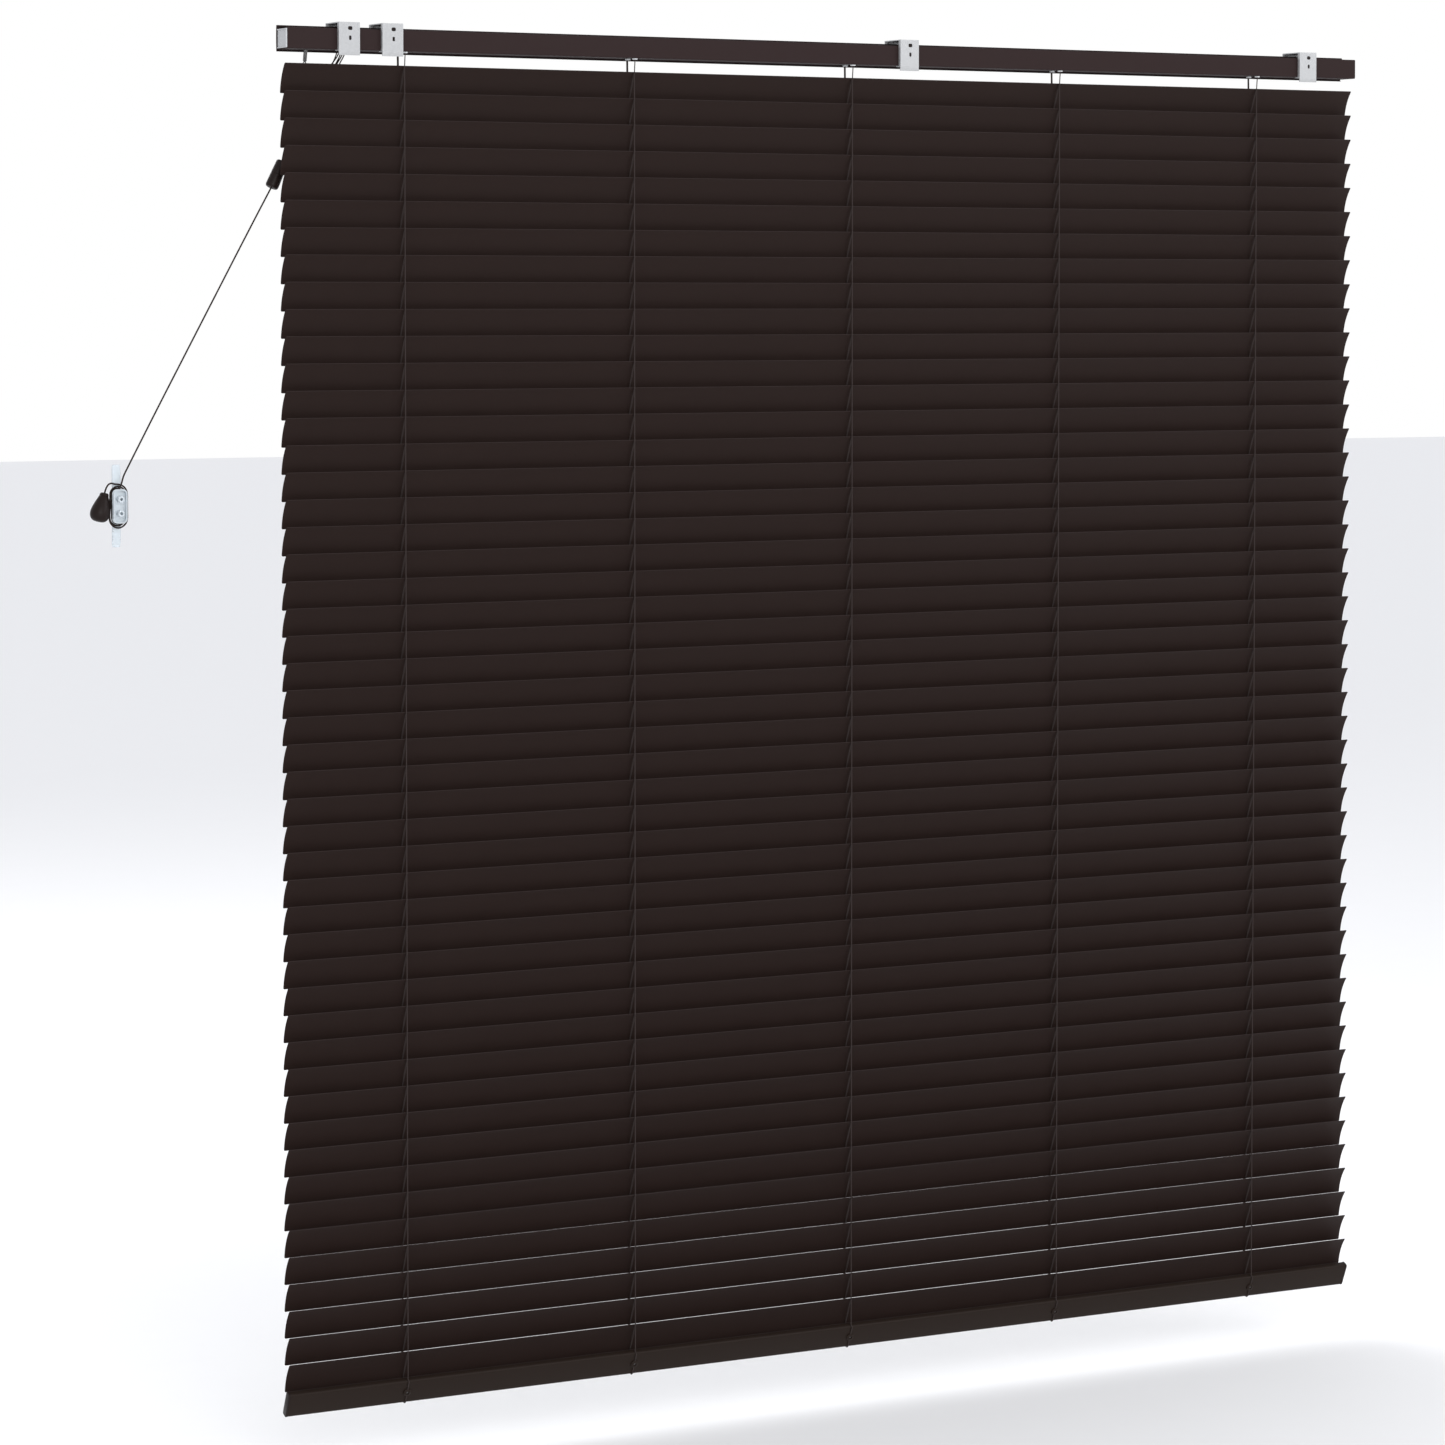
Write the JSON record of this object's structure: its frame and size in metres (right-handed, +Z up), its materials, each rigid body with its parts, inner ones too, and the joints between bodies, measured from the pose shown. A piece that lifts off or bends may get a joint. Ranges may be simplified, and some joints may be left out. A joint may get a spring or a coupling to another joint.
{
  "type": "venetian blind",
  "caption": "Horizontal slat blind with a U-shaped headrail, tilting aluminium slats on ladder cords, a bottom rail, a tilt wand and a pull cord tied to a wall cleat.",
  "frame": {"origin": "middle of the brackets' wall face, halfway along the headrail", "axes": "+X along the blind towards the tilter and the pull cord, +Y into the wall, -Y into the room, +Z up"},
  "size_m": [1.6252, 0.0512, 1.5036],
  "materials": {
    "slat": "satin dark brown lacquer",
    "rail": "satin dark brown enamel on rolled steel",
    "bottom": "satin dark brown enamel on rolled steel",
    "steel": "zinc plated",
    "clear": "translucent moulded plastic",
    "cord": "braided polyester",
    "dark": "dark brown moulded plastic"
  },
  "bodies": {
    "headrail": {"headrail": "rail", "cord_cleat": "clear", "pull_cord": "cord", "cord_winding": "cord", "cord_tassel": "dark"},
    "tilt_rod": {"tilt_rod": "steel"},
    "tilter_stem": {"tilter_stem": "clear"},
    "tilt_wand": {"tilt_wand": "clear"},
    "slat_01": {"slat_01": "slat"},
    "slat_02": {"slat_02": "slat"},
    "slat_03": {"slat_03": "slat"},
    "slat_04": {"slat_04": "slat"},
    "slat_05": {"slat_05": "slat"},
    "slat_06": {"slat_06": "slat"},
    "slat_07": {"slat_07": "slat"},
    "slat_08": {"slat_08": "slat"},
    "slat_09": {"slat_09": "slat"},
    "slat_10": {"slat_10": "slat"},
    "slat_11": {"slat_11": "slat"},
    "slat_12": {"slat_12": "slat"},
    "slat_13": {"slat_13": "slat"},
    "slat_14": {"slat_14": "slat"},
    "slat_15": {"slat_15": "slat"},
    "slat_16": {"slat_16": "slat"},
    "slat_17": {"slat_17": "slat"},
    "slat_18": {"slat_18": "slat"},
    "slat_19": {"slat_19": "slat"},
    "slat_20": {"slat_20": "slat"},
    "slat_21": {"slat_21": "slat"},
    "slat_22": {"slat_22": "slat"},
    "slat_23": {"slat_23": "slat"},
    "slat_24": {"slat_24": "slat"},
    "slat_25": {"slat_25": "slat"},
    "slat_26": {"slat_26": "slat"},
    "slat_27": {"slat_27": "slat"},
    "slat_28": {"slat_28": "slat"},
    "slat_29": {"slat_29": "slat"},
    "slat_30": {"slat_30": "slat"},
    "slat_31": {"slat_31": "slat"},
    "slat_32": {"slat_32": "slat"},
    "slat_33": {"slat_33": "slat"},
    "slat_34": {"slat_34": "slat"},
    "slat_35": {"slat_35": "slat"},
    "slat_36": {"slat_36": "slat"},
    "slat_37": {"slat_37": "slat"},
    "slat_38": {"slat_38": "slat"},
    "slat_39": {"slat_39": "slat"},
    "slat_40": {"slat_40": "slat"},
    "slat_41": {"slat_41": "slat"},
    "slat_42": {"slat_42": "slat"},
    "slat_43": {"slat_43": "slat"},
    "slat_44": {"slat_44": "slat"},
    "slat_45": {"slat_45": "slat"},
    "slat_46": {"slat_46": "slat"},
    "slat_47": {"slat_47": "slat"},
    "slat_48": {"slat_48": "slat"},
    "slat_49": {"slat_49": "slat"},
    "bottom_rail": {"bottom_rail": "bottom"},
    "ladder_cord_wall_side": {"ladder_cord_wall_side": "cord"},
    "ladder_cord_room_side": {"ladder_cord_room_side": "cord"}
  },
  "joints": [
    {"name": "tilt", "type": "hinge", "parent": "headrail", "child": "tilt_rod", "pos_m": [0, -0.019, 0.001], "axis": [-1, 0, 0], "range_deg": [0, 205.71]},
    {"name": "stem_spin", "type": "hinge", "parent": "headrail", "child": "tilter_stem", "pos_m": [0.668, -0.02712, 0.00273], "axis": [0, -0.2079, -0.9781], "range_deg": [0, 2880]},
    {"name": "wand_swing", "type": "hinge", "parent": "headrail", "child": "tilt_wand", "pos_m": [0.668, -0.03393, -0.0293], "axis": [-1, 0, 0], "range_deg": [0, 40]},
    {"name": "slat_01_tilt", "type": "hinge", "parent": "headrail", "child": "slat_01", "pos_m": [0, -0.019, -0.0434], "axis": [-1, 0, 0], "range_deg": [0, 134.85]},
    {"name": "slat_02_tilt", "type": "hinge", "parent": "headrail", "child": "slat_02", "pos_m": [0, -0.019, -0.0726], "axis": [-1, 0, 0], "range_deg": [0, 134.85]},
    {"name": "slat_03_tilt", "type": "hinge", "parent": "headrail", "child": "slat_03", "pos_m": [0, -0.019, -0.1018], "axis": [-1, 0, 0], "range_deg": [0, 134.85]},
    {"name": "slat_04_tilt", "type": "hinge", "parent": "headrail", "child": "slat_04", "pos_m": [0, -0.019, -0.131], "axis": [-1, 0, 0], "range_deg": [0, 134.85]},
    {"name": "slat_05_tilt", "type": "hinge", "parent": "headrail", "child": "slat_05", "pos_m": [0, -0.019, -0.1602], "axis": [-1, 0, 0], "range_deg": [0, 134.85]},
    {"name": "slat_06_tilt", "type": "hinge", "parent": "headrail", "child": "slat_06", "pos_m": [0, -0.019, -0.1894], "axis": [-1, 0, 0], "range_deg": [0, 134.85]},
    {"name": "slat_07_tilt", "type": "hinge", "parent": "headrail", "child": "slat_07", "pos_m": [0, -0.019, -0.2186], "axis": [-1, 0, 0], "range_deg": [0, 134.85]},
    {"name": "slat_08_tilt", "type": "hinge", "parent": "headrail", "child": "slat_08", "pos_m": [0, -0.019, -0.2478], "axis": [-1, 0, 0], "range_deg": [0, 134.85]},
    {"name": "slat_09_tilt", "type": "hinge", "parent": "headrail", "child": "slat_09", "pos_m": [0, -0.019, -0.277], "axis": [-1, 0, 0], "range_deg": [0, 134.85]},
    {"name": "slat_10_tilt", "type": "hinge", "parent": "headrail", "child": "slat_10", "pos_m": [0, -0.019, -0.3062], "axis": [-1, 0, 0], "range_deg": [0, 134.85]},
    {"name": "slat_11_tilt", "type": "hinge", "parent": "headrail", "child": "slat_11", "pos_m": [0, -0.019, -0.3354], "axis": [-1, 0, 0], "range_deg": [0, 134.85]},
    {"name": "slat_12_tilt", "type": "hinge", "parent": "headrail", "child": "slat_12", "pos_m": [0, -0.019, -0.3646], "axis": [-1, 0, 0], "range_deg": [0, 134.85]},
    {"name": "slat_13_tilt", "type": "hinge", "parent": "headrail", "child": "slat_13", "pos_m": [0, -0.019, -0.3938], "axis": [-1, 0, 0], "range_deg": [0, 134.85]},
    {"name": "slat_14_tilt", "type": "hinge", "parent": "headrail", "child": "slat_14", "pos_m": [0, -0.019, -0.423], "axis": [-1, 0, 0], "range_deg": [0, 134.85]},
    {"name": "slat_15_tilt", "type": "hinge", "parent": "headrail", "child": "slat_15", "pos_m": [0, -0.019, -0.4522], "axis": [-1, 0, 0], "range_deg": [0, 134.85]},
    {"name": "slat_16_tilt", "type": "hinge", "parent": "headrail", "child": "slat_16", "pos_m": [0, -0.019, -0.4814], "axis": [-1, 0, 0], "range_deg": [0, 134.85]},
    {"name": "slat_17_tilt", "type": "hinge", "parent": "headrail", "child": "slat_17", "pos_m": [0, -0.019, -0.5106], "axis": [-1, 0, 0], "range_deg": [0, 134.85]},
    {"name": "slat_18_tilt", "type": "hinge", "parent": "headrail", "child": "slat_18", "pos_m": [0, -0.019, -0.5398], "axis": [-1, 0, 0], "range_deg": [0, 134.85]},
    {"name": "slat_19_tilt", "type": "hinge", "parent": "headrail", "child": "slat_19", "pos_m": [0, -0.019, -0.569], "axis": [-1, 0, 0], "range_deg": [0, 134.85]},
    {"name": "slat_20_tilt", "type": "hinge", "parent": "headrail", "child": "slat_20", "pos_m": [0, -0.019, -0.5982], "axis": [-1, 0, 0], "range_deg": [0, 134.85]},
    {"name": "slat_21_tilt", "type": "hinge", "parent": "headrail", "child": "slat_21", "pos_m": [0, -0.019, -0.6274], "axis": [-1, 0, 0], "range_deg": [0, 134.85]},
    {"name": "slat_22_tilt", "type": "hinge", "parent": "headrail", "child": "slat_22", "pos_m": [0, -0.019, -0.6566], "axis": [-1, 0, 0], "range_deg": [0, 134.85]},
    {"name": "slat_23_tilt", "type": "hinge", "parent": "headrail", "child": "slat_23", "pos_m": [0, -0.019, -0.6858], "axis": [-1, 0, 0], "range_deg": [0, 134.85]},
    {"name": "slat_24_tilt", "type": "hinge", "parent": "headrail", "child": "slat_24", "pos_m": [0, -0.019, -0.715], "axis": [-1, 0, 0], "range_deg": [0, 134.85]},
    {"name": "slat_25_tilt", "type": "hinge", "parent": "headrail", "child": "slat_25", "pos_m": [0, -0.019, -0.7442], "axis": [-1, 0, 0], "range_deg": [0, 134.85]},
    {"name": "slat_26_tilt", "type": "hinge", "parent": "headrail", "child": "slat_26", "pos_m": [0, -0.019, -0.7734], "axis": [-1, 0, 0], "range_deg": [0, 134.85]},
    {"name": "slat_27_tilt", "type": "hinge", "parent": "headrail", "child": "slat_27", "pos_m": [0, -0.019, -0.8026], "axis": [-1, 0, 0], "range_deg": [0, 134.85]},
    {"name": "slat_28_tilt", "type": "hinge", "parent": "headrail", "child": "slat_28", "pos_m": [0, -0.019, -0.8318], "axis": [-1, 0, 0], "range_deg": [0, 134.85]},
    {"name": "slat_29_tilt", "type": "hinge", "parent": "headrail", "child": "slat_29", "pos_m": [0, -0.019, -0.861], "axis": [-1, 0, 0], "range_deg": [0, 134.85]},
    {"name": "slat_30_tilt", "type": "hinge", "parent": "headrail", "child": "slat_30", "pos_m": [0, -0.019, -0.8902], "axis": [-1, 0, 0], "range_deg": [0, 134.85]},
    {"name": "slat_31_tilt", "type": "hinge", "parent": "headrail", "child": "slat_31", "pos_m": [0, -0.019, -0.9194], "axis": [-1, 0, 0], "range_deg": [0, 134.85]},
    {"name": "slat_32_tilt", "type": "hinge", "parent": "headrail", "child": "slat_32", "pos_m": [0, -0.019, -0.9486], "axis": [-1, 0, 0], "range_deg": [0, 134.85]},
    {"name": "slat_33_tilt", "type": "hinge", "parent": "headrail", "child": "slat_33", "pos_m": [0, -0.019, -0.9778], "axis": [-1, 0, 0], "range_deg": [0, 134.85]},
    {"name": "slat_34_tilt", "type": "hinge", "parent": "headrail", "child": "slat_34", "pos_m": [0, -0.019, -1.007], "axis": [-1, 0, 0], "range_deg": [0, 134.85]},
    {"name": "slat_35_tilt", "type": "hinge", "parent": "headrail", "child": "slat_35", "pos_m": [0, -0.019, -1.0362], "axis": [-1, 0, 0], "range_deg": [0, 134.85]},
    {"name": "slat_36_tilt", "type": "hinge", "parent": "headrail", "child": "slat_36", "pos_m": [0, -0.019, -1.0654], "axis": [-1, 0, 0], "range_deg": [0, 134.85]},
    {"name": "slat_37_tilt", "type": "hinge", "parent": "headrail", "child": "slat_37", "pos_m": [0, -0.019, -1.0946], "axis": [-1, 0, 0], "range_deg": [0, 134.85]},
    {"name": "slat_38_tilt", "type": "hinge", "parent": "headrail", "child": "slat_38", "pos_m": [0, -0.019, -1.1238], "axis": [-1, 0, 0], "range_deg": [0, 134.85]},
    {"name": "slat_39_tilt", "type": "hinge", "parent": "headrail", "child": "slat_39", "pos_m": [0, -0.019, -1.153], "axis": [-1, 0, 0], "range_deg": [0, 134.85]},
    {"name": "slat_40_tilt", "type": "hinge", "parent": "headrail", "child": "slat_40", "pos_m": [0, -0.019, -1.1822], "axis": [-1, 0, 0], "range_deg": [0, 134.85]},
    {"name": "slat_41_tilt", "type": "hinge", "parent": "headrail", "child": "slat_41", "pos_m": [0, -0.019, -1.2114], "axis": [-1, 0, 0], "range_deg": [0, 134.85]},
    {"name": "slat_42_tilt", "type": "hinge", "parent": "headrail", "child": "slat_42", "pos_m": [0, -0.019, -1.2406], "axis": [-1, 0, 0], "range_deg": [0, 134.85]},
    {"name": "slat_43_tilt", "type": "hinge", "parent": "headrail", "child": "slat_43", "pos_m": [0, -0.019, -1.2698], "axis": [-1, 0, 0], "range_deg": [0, 134.85]},
    {"name": "slat_44_tilt", "type": "hinge", "parent": "headrail", "child": "slat_44", "pos_m": [0, -0.019, -1.299], "axis": [-1, 0, 0], "range_deg": [0, 134.85]},
    {"name": "slat_45_tilt", "type": "hinge", "parent": "headrail", "child": "slat_45", "pos_m": [0, -0.019, -1.3282], "axis": [-1, 0, 0], "range_deg": [0, 134.85]},
    {"name": "slat_46_tilt", "type": "hinge", "parent": "headrail", "child": "slat_46", "pos_m": [0, -0.019, -1.3574], "axis": [-1, 0, 0], "range_deg": [0, 134.85]},
    {"name": "slat_47_tilt", "type": "hinge", "parent": "headrail", "child": "slat_47", "pos_m": [0, -0.019, -1.3866], "axis": [-1, 0, 0], "range_deg": [0, 134.85]},
    {"name": "slat_48_tilt", "type": "hinge", "parent": "headrail", "child": "slat_48", "pos_m": [0, -0.019, -1.4158], "axis": [-1, 0, 0], "range_deg": [0, 134.85]},
    {"name": "slat_49_tilt", "type": "hinge", "parent": "headrail", "child": "slat_49", "pos_m": [0, -0.019, -1.445], "axis": [-1, 0, 0], "range_deg": [0, 134.85]},
    {"name": "bottom_rail_tilt", "type": "hinge", "parent": "headrail", "child": "bottom_rail", "pos_m": [0, -0.019, -1.4728], "axis": [-1, 0, 0], "range_deg": [0, 134.85]},
    {"name": "ladder_wall_side_shift", "type": "hinge", "parent": "slat_01", "child": "ladder_cord_wall_side", "pos_m": [0, -0.01227, -0.02724], "axis": [1, 0, 0], "range_deg": [0, 134.85]},
    {"name": "ladder_room_side_shift", "type": "hinge", "parent": "slat_01", "child": "ladder_cord_room_side", "pos_m": [0, -0.02573, -0.05956], "axis": [1, 0, 0], "range_deg": [0, 134.85]}
  ],
  "couplings": [
    {"joint": "stem_spin", "follows": "tilt", "ratio": 14},
    {"joint": "slat_01_tilt", "follows": "tilt", "ratio": 0.65528},
    {"joint": "slat_02_tilt", "follows": "tilt", "ratio": 0.65528},
    {"joint": "slat_03_tilt", "follows": "tilt", "ratio": 0.65528},
    {"joint": "slat_04_tilt", "follows": "tilt", "ratio": 0.65528},
    {"joint": "slat_05_tilt", "follows": "tilt", "ratio": 0.65528},
    {"joint": "slat_06_tilt", "follows": "tilt", "ratio": 0.65528},
    {"joint": "slat_07_tilt", "follows": "tilt", "ratio": 0.65528},
    {"joint": "slat_08_tilt", "follows": "tilt", "ratio": 0.65528},
    {"joint": "slat_09_tilt", "follows": "tilt", "ratio": 0.65528},
    {"joint": "slat_10_tilt", "follows": "tilt", "ratio": 0.65528},
    {"joint": "slat_11_tilt", "follows": "tilt", "ratio": 0.65528},
    {"joint": "slat_12_tilt", "follows": "tilt", "ratio": 0.65528},
    {"joint": "slat_13_tilt", "follows": "tilt", "ratio": 0.65528},
    {"joint": "slat_14_tilt", "follows": "tilt", "ratio": 0.65528},
    {"joint": "slat_15_tilt", "follows": "tilt", "ratio": 0.65528},
    {"joint": "slat_16_tilt", "follows": "tilt", "ratio": 0.65528},
    {"joint": "slat_17_tilt", "follows": "tilt", "ratio": 0.65528},
    {"joint": "slat_18_tilt", "follows": "tilt", "ratio": 0.65528},
    {"joint": "slat_19_tilt", "follows": "tilt", "ratio": 0.65528},
    {"joint": "slat_20_tilt", "follows": "tilt", "ratio": 0.65528},
    {"joint": "slat_21_tilt", "follows": "tilt", "ratio": 0.65528},
    {"joint": "slat_22_tilt", "follows": "tilt", "ratio": 0.65528},
    {"joint": "slat_23_tilt", "follows": "tilt", "ratio": 0.65528},
    {"joint": "slat_24_tilt", "follows": "tilt", "ratio": 0.65528},
    {"joint": "slat_25_tilt", "follows": "tilt", "ratio": 0.65528},
    {"joint": "slat_26_tilt", "follows": "tilt", "ratio": 0.65528},
    {"joint": "slat_27_tilt", "follows": "tilt", "ratio": 0.65528},
    {"joint": "slat_28_tilt", "follows": "tilt", "ratio": 0.65528},
    {"joint": "slat_29_tilt", "follows": "tilt", "ratio": 0.65528},
    {"joint": "slat_30_tilt", "follows": "tilt", "ratio": 0.65528},
    {"joint": "slat_31_tilt", "follows": "tilt", "ratio": 0.65528},
    {"joint": "slat_32_tilt", "follows": "tilt", "ratio": 0.65528},
    {"joint": "slat_33_tilt", "follows": "tilt", "ratio": 0.65528},
    {"joint": "slat_34_tilt", "follows": "tilt", "ratio": 0.65528},
    {"joint": "slat_35_tilt", "follows": "tilt", "ratio": 0.65528},
    {"joint": "slat_36_tilt", "follows": "tilt", "ratio": 0.65528},
    {"joint": "slat_37_tilt", "follows": "tilt", "ratio": 0.65528},
    {"joint": "slat_38_tilt", "follows": "tilt", "ratio": 0.65528},
    {"joint": "slat_39_tilt", "follows": "tilt", "ratio": 0.65528},
    {"joint": "slat_40_tilt", "follows": "tilt", "ratio": 0.65528},
    {"joint": "slat_41_tilt", "follows": "tilt", "ratio": 0.65528},
    {"joint": "slat_42_tilt", "follows": "tilt", "ratio": 0.65528},
    {"joint": "slat_43_tilt", "follows": "tilt", "ratio": 0.65528},
    {"joint": "slat_44_tilt", "follows": "tilt", "ratio": 0.65528},
    {"joint": "slat_45_tilt", "follows": "tilt", "ratio": 0.65528},
    {"joint": "slat_46_tilt", "follows": "tilt", "ratio": 0.65528},
    {"joint": "slat_47_tilt", "follows": "tilt", "ratio": 0.65528},
    {"joint": "slat_48_tilt", "follows": "tilt", "ratio": 0.65528},
    {"joint": "slat_49_tilt", "follows": "tilt", "ratio": 0.65528},
    {"joint": "bottom_rail_tilt", "follows": "tilt", "ratio": 0.65528},
    {"joint": "ladder_wall_side_shift", "follows": "tilt", "ratio": 0.65528},
    {"joint": "ladder_room_side_shift", "follows": "tilt", "ratio": 0.65528}
  ]
}
